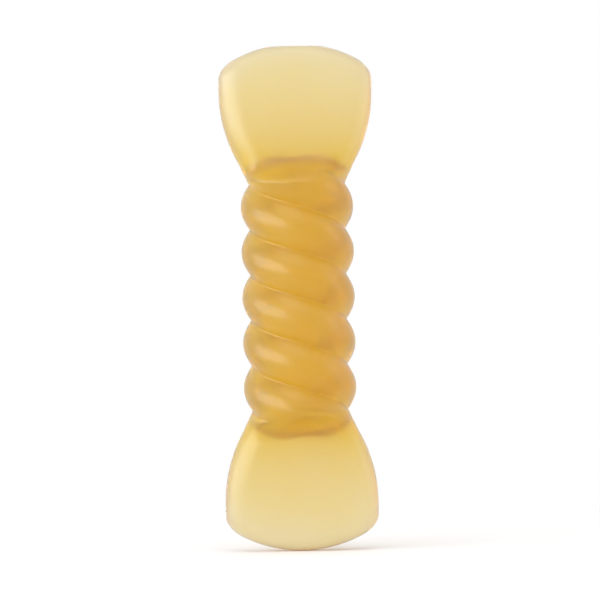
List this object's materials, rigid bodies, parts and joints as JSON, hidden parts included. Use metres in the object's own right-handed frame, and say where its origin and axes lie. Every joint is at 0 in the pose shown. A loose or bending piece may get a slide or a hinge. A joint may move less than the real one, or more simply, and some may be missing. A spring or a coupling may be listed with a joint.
{
  "type": "dog dental chew toy",
  "caption": "Rubber dog chew with a twisted, rope-like middle and a flared, tapered paddle at each end, gnawed to clean the teeth.",
  "frame": {"origin": "centre of the bounding box, on the axis of the twist", "axes": "+Z along the axis of the twist, towards the paddle with the trimmed end; -Y towards the viewer of the picture, square to the paddles; +X to the viewer's right"},
  "size_m": [0.0458, 0.0336, 0.15],
  "materials": {
    "paddle_rubber": "satin",
    "strand_rubber": "satin"
  },
  "bodies": {
    "root": {"upper_paddle": "paddle_rubber", "lower_paddle": "paddle_rubber", "first_strand": "strand_rubber", "second_strand": "strand_rubber"}
  },
  "joints": []
}
